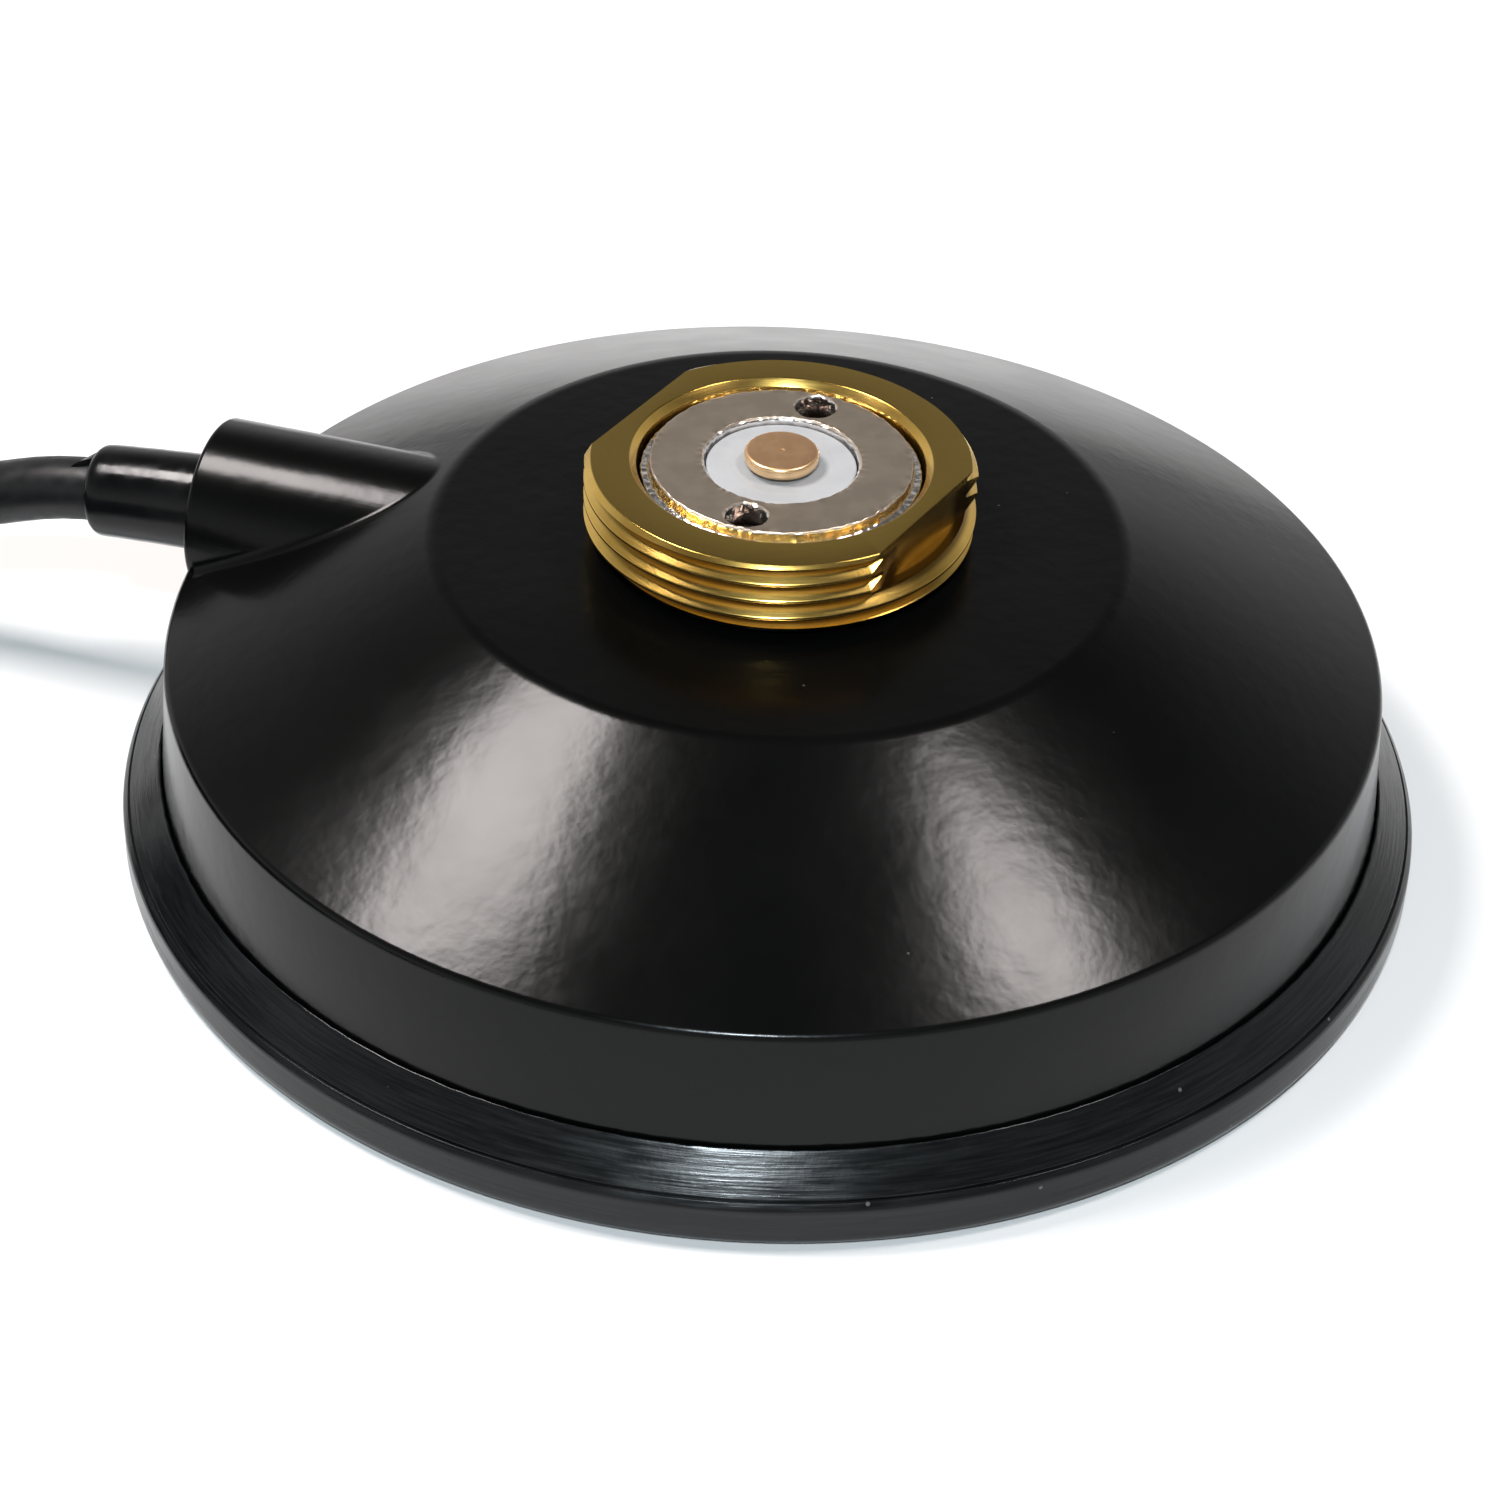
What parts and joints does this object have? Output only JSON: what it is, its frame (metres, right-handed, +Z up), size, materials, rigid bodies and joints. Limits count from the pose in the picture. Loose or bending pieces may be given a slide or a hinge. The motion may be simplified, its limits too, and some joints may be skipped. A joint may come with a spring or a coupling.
{
  "type": "magnetic antenna mount",
  "caption": "Low round magnetic antenna mount: a black cone housing on a rubber boot, a threaded brass antenna seat on top, a coaxial lead from a side boss, coiled, with a screw-on plug.",
  "frame": {"origin": "centre of the rubber boot's underside, on the housing's axis", "axes": "+Z up along the housing's axis and the antenna seat; the cable leaves the side towards -X and slightly +Y; the picture looks along +Y from above"},
  "size_m": [0.2083, 0.1301, 0.032],
  "materials": {
    "black_paint": "satin gloss black paint with a slight orange peel",
    "rubber": "satin black moulded rubber",
    "magnet": "ground grey ferrite",
    "steel": "zinc plated steel",
    "brass": "machined brass",
    "nickel": "warm nickel plate",
    "copper": "copper coloured plate",
    "white_resin": "smooth white insulating resin",
    "cable_jacket": "satin black cable jacket",
    "sleeve": "glossy black sleeve",
    "nylon": "black nylon",
    "plug_nickel": "bright nickel plate"
  },
  "bodies": {
    "mount": {"housing": "black_paint", "rubber_boot": "rubber", "ring_magnet": "magnet", "backing_plate": "steel", "pole_piece": "steel", "ring_nut": "brass", "ring_gasket": "rubber", "connector_body": "nickel", "ground_washer": "steel", "insulator": "white_resin", "centre_contact": "copper", "coax_conductor": "copper", "coax_dielectric": "white_resin", "crimp_ferrule": "nickel", "cable_lead_in": "cable_jacket", "strain_relief": "sleeve", "cable_run": "cable_jacket", "cable_coil": "cable_jacket", "cable_tie_1": "nylon", "cable_tie_2": "nylon", "cable_end": "cable_jacket", "plug_sleeve": "sleeve", "plug_adapter": "plug_nickel", "plug_body": "plug_nickel", "plug_core": "white_resin", "plug_insulator": "white_resin", "plug_pin": "plug_nickel"},
    "coupling_ring": {"coupling_ring": "plug_nickel"}
  },
  "joints": [
    {"name": "coupling_ring_turn", "type": "hinge", "parent": "mount", "child": "coupling_ring", "pos_m": [-0.0873, -0.072, 0.0094], "axis": [1, 0, 0], "continuous": true}
  ]
}
